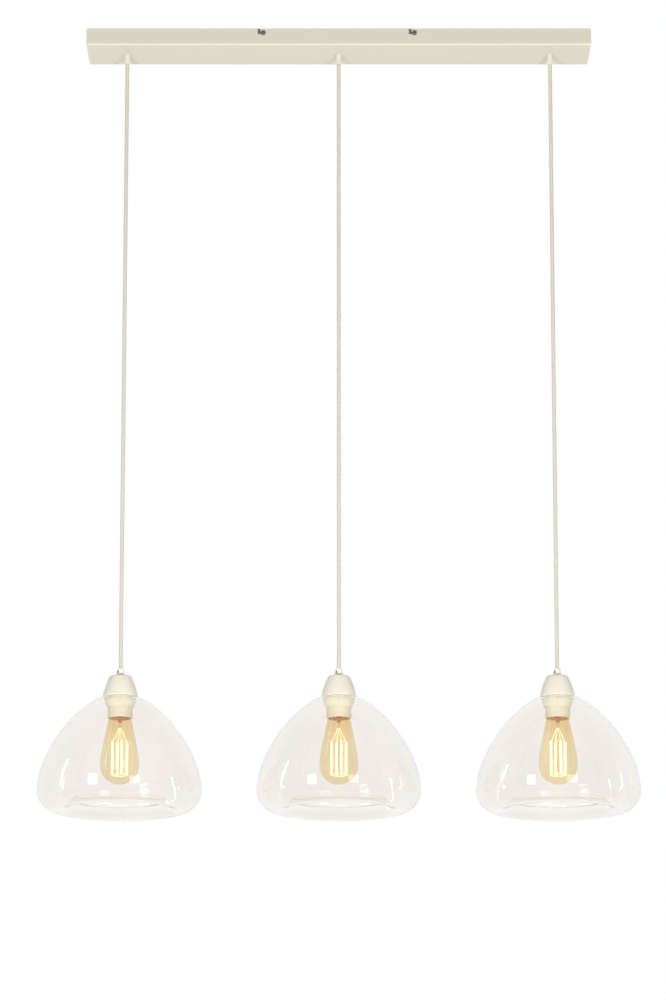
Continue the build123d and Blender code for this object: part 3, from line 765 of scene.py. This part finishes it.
class PENDANT_OT_bulbs(bpy.types.Operator):
    """Blow the bulbs and light their sticks"""

    bl_idname = "pendant.bulbs"
    bl_label = "Light Bulbs"

    def execute(self, context):
        settings = context.scene.pendant_settings
        colours = context.scene.pendant_finish
        tints = (colours.bulb, colours.bulb_edge, BULB_SHADOW)
        amber = clear_glass("bulb_amber", *tints, zone=bulb_neck, zone_tint=BULB_NECK)
        dress(each("bulb_stem"), clear_glass("stem_glass", STEM_FACE, STEM_EDGE, STEM_SHADOW))
        # The leads glow as the sticks do: painted light on plain wires
        dress(each("bulb_leads"), light_stick("painted_glow_lead", LEAD_PAINTED_GLOW, settings.lead_painted_glow))
        dress(each("bulb_filaments"), light_stick("light_stick", colours.stick, settings.glow))
        loop = bulb_chain(0.0) + bulb_chain(settings.bulb_wall / MM)[::-1]
        for side, x in SIDES.items():
            bulb = lathe(f"bulb_envelope_{side}", x, loop, settings.fitting_steps, amber)
            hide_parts(f"bulb_glass_{side}")
            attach(bulb, f"bulb_{side}")
        return {"FINISHED"}


class PENDANT_OT_stage(bpy.types.Operator):
    """Set up the camera, the floor and plain soft light"""

    bl_idname = "pendant.stage"
    bl_label = "Set Stage"

    def execute(self, context):
        scene = context.scene
        settings = scene.pendant_stage
        scene.view_settings.view_transform = "Standard"
        self.add_camera(scene, settings)
        self.add_floor(scene, settings)
        self.add_lamps(scene, settings)
        self.light_world(scene, settings)
        return {"FINISHED"}

    def add_camera(self, scene, settings):
        camera = bpy.data.cameras.new("photo_camera")
        camera.sensor_fit = "VERTICAL"
        camera.sensor_height = 36.0
        camera.lens = settings.lens
        camera.clip_end = 60.0
        eye = bpy.data.objects.new("photo_camera", camera)
        eye.location = settings.camera_place
        eye.rotation_euler = (pi / 2 + settings.camera_pitch, 0.0, 0.0)
        scene.collection.objects.link(eye)
        scene.camera = eye

    def add_floor(self, scene, settings):
        """A pale floor that shows as white in glass and metal, and is clear from below."""
        half, z = 14.0, settings.floor_height
        corners = [(-half, -half, z), (half, -half, z), (half, half, z), (-half, half, z)]
        mesh = bpy.data.meshes.new("floor")
        mesh.from_pydata(corners, [], [(0, 1, 2, 3)])
        graph = Finish("floor_pale")
        cloud = graph.noise(scale=0.6, detail=3.0)
        graph.shade({
            "Base Color": graph.toned(cloud, WHITE, dark=0.90, light=0.94),
            "Roughness": 0.85 + cloud.swing(0.1),
        })
        white = graph.add("ShaderNodeEmission", None, {"Color": WHITE, "Strength": 1.0})
        shown = graph.ray("Is Camera Ray") * 0.85
        graph.swap(graph.ray("Is Glossy Ray", "Is Transmission Ray").maximum(shown), white)
        underneath = Field(graph, graph.add("ShaderNodeNewGeometry").outputs["Backfacing"])
        mesh.materials.append(graph.swap(underneath, graph.add("ShaderNodeBsdfTransparent")))
        floor = bpy.data.objects.new("floor", mesh)
        scene.collection.objects.link(floor)

    def add_lamps(self, scene, settings):
        """Lamps that the glass reflects, and lamps that light the painted and moulded pieces."""
        front, fill = settings.front_level, settings.fill_level
        left, right = settings.left_strip_level, settings.right_strip_level
        reflected = {
            "front_left": dict(azimuth=-38.0, distance=5.0, span=(-3.1, 0.2), width=1.15, radiance=front),
            "front_right": dict(azimuth=20.0, distance=5.0, span=(-2.4, 0.0), width=1.3, radiance=front),
            "strip_left": dict(azimuth=-86.0, distance=5.5, span=(-3.1, 2.1), width=0.3, radiance=left),
            "strip_right": dict(azimuth=96.0, distance=5.5, span=(-3.1, 0.4), width=0.25, radiance=right),
        }
        for name, place in reflected.items():
            lamp = self.add_lamp(scene, name, **place)
            lamp.visible_diffuse = False
            lamp.visible_camera = False
            self.show_in_reflections(lamp.data)
        low = dict(distance=3.8, span=(-2.73, -2.57), width=0.16, radiance=fill, tilt=45.0)
        back = dict(distance=5.5, span=(-0.9, 1.9), width=2.0, radiance=settings.back_level)
        unseen = [
            self.add_lamp(scene, "fill_left", azimuth=-21.0, **low),
            self.add_lamp(scene, "fill_right", azimuth=21.0, **low),
            self.add_lamp(scene, "back_fill", azimuth=180.0, **back),
            self.add_floor_lamp(scene, settings),
        ]
        for lamp in unseen:
            lamp.visible_camera = False
            lamp.visible_glossy = False
            lamp.visible_transmission = False

    def add_lamp(self, scene, name, azimuth, distance, span, width, radiance, tilt=0.0):
        """A lamp that faces the pendants, at an azimuth from the camera's side, upright or looking up."""
        lamp = bpy.data.lights.new(name, "AREA")
        lamp.shape = "RECTANGLE"
        lamp.size = width
        lamp.size_y = span[1] - span[0]
        lamp.energy = radiance * pi * lamp.size * lamp.size_y
        turn = radians(azimuth)
        box = bpy.data.objects.new(name, lamp)
        box.location = (distance * sin(turn), -distance * cos(turn), (span[0] + span[1]) / 2)
        box.rotation_euler = (pi / 2 + radians(tilt), 0.0, turn)
        scene.collection.objects.link(box)
        return box

    def add_floor_lamp(self, scene, settings):
        """A wide lamp just above the floor that lights the undersides."""
        lamp = bpy.data.lights.new("floor_lamp", "AREA")
        lamp.size = 5.0
        lamp.energy = settings.floor_lamp_level * pi * lamp.size ** 2
        above = 0.1
        box = bpy.data.objects.new("floor_lamp", lamp)
        box.location = (0.0, 0.0, settings.floor_height + above)
        box.rotation_euler = (pi, 0.0, 0.0)
        scene.collection.objects.link(box)
        return box

    def show_in_reflections(self, lamp):
        """Let a lamp shine by way of a reflection, and stay dark straight through glass."""
        lamp.use_nodes = True
        graph = Graph(lamp.node_tree)
        depth = Field(graph, graph.add("ShaderNodeLightPath").outputs["Glossy Depth"])
        light = graph.mix(depth.between(0.0, 1.0), BLACK, WHITE)
        shine = graph.add("ShaderNodeEmission", None, {"Color": light, "Strength": 1.0})
        graph.add("ShaderNodeOutputLight", None, {"Surface": Field(graph, shine.outputs[0])})

    def light_world(self, scene, settings):
        """Even light, with white wherever the background itself is seen."""
        world = bpy.data.worlds.new("studio")
        world.use_nodes = True
        graph = Graph(world.node_tree)
        seen = graph.ray("Is Camera Ray", "Is Transmission Ray", "Is Glossy Ray")
        strength = settings.world_level + seen * (1.0 - settings.world_level)
        white = graph.add("ShaderNodeBackground", None, {"Color": WHITE, "Strength": strength})
        graph.add("ShaderNodeOutputWorld", None, {"Surface": Field(graph, white.outputs[0])})
        scene.world = world


class PENDANT_PT_panel(bpy.types.Panel):
    """Controls of the pendant light"""

    bl_idname = "PENDANT_PT_panel"
    bl_label = "Pendant Light"
    bl_space_type = "VIEW_3D"
    bl_region_type = "UI"
    bl_category = "Pendant"

    def draw(self, context):
        layout = self.layout
        scene = context.scene
        for group in (scene.pendant_settings, scene.pendant_finish, scene.pendant_stage):
            column = layout.column(align=True)
            for key in group.__annotations__:
                column.prop(group, key)
        for name in ("bar", "cords", "shades", "fittings", "bulbs", "stage"):
            layout.operator(f"pendant.{name}")


CLASSES = (
    PendantSettings,
    FinishSettings,
    StageSettings,
    PENDANT_OT_bar,
    PENDANT_OT_cords,
    PENDANT_OT_shades,
    PENDANT_OT_fittings,
    PENDANT_OT_bulbs,
    PENDANT_OT_stage,
    PENDANT_PT_panel,
)


def register():
    for cls in CLASSES:
        bpy.utils.register_class(cls)
    bpy.types.Scene.pendant_settings = PointerProperty(type=PendantSettings)
    bpy.types.Scene.pendant_finish = PointerProperty(type=FinishSettings)
    bpy.types.Scene.pendant_stage = PointerProperty(type=StageSettings)


def unregister():
    del bpy.types.Scene.pendant_stage
    del bpy.types.Scene.pendant_finish
    del bpy.types.Scene.pendant_settings
    for cls in reversed(CLASSES):
        bpy.utils.unregister_class(cls)


def main():
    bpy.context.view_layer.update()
    register()
    bpy.ops.pendant.stage()
    bpy.ops.pendant.cords()
    bpy.ops.pendant.bar()
    bpy.ops.pendant.shades()
    bpy.ops.pendant.fittings()
    bpy.ops.pendant.bulbs()
    bpy.context.view_layer.update()


if __name__ == "__main__":
    main()
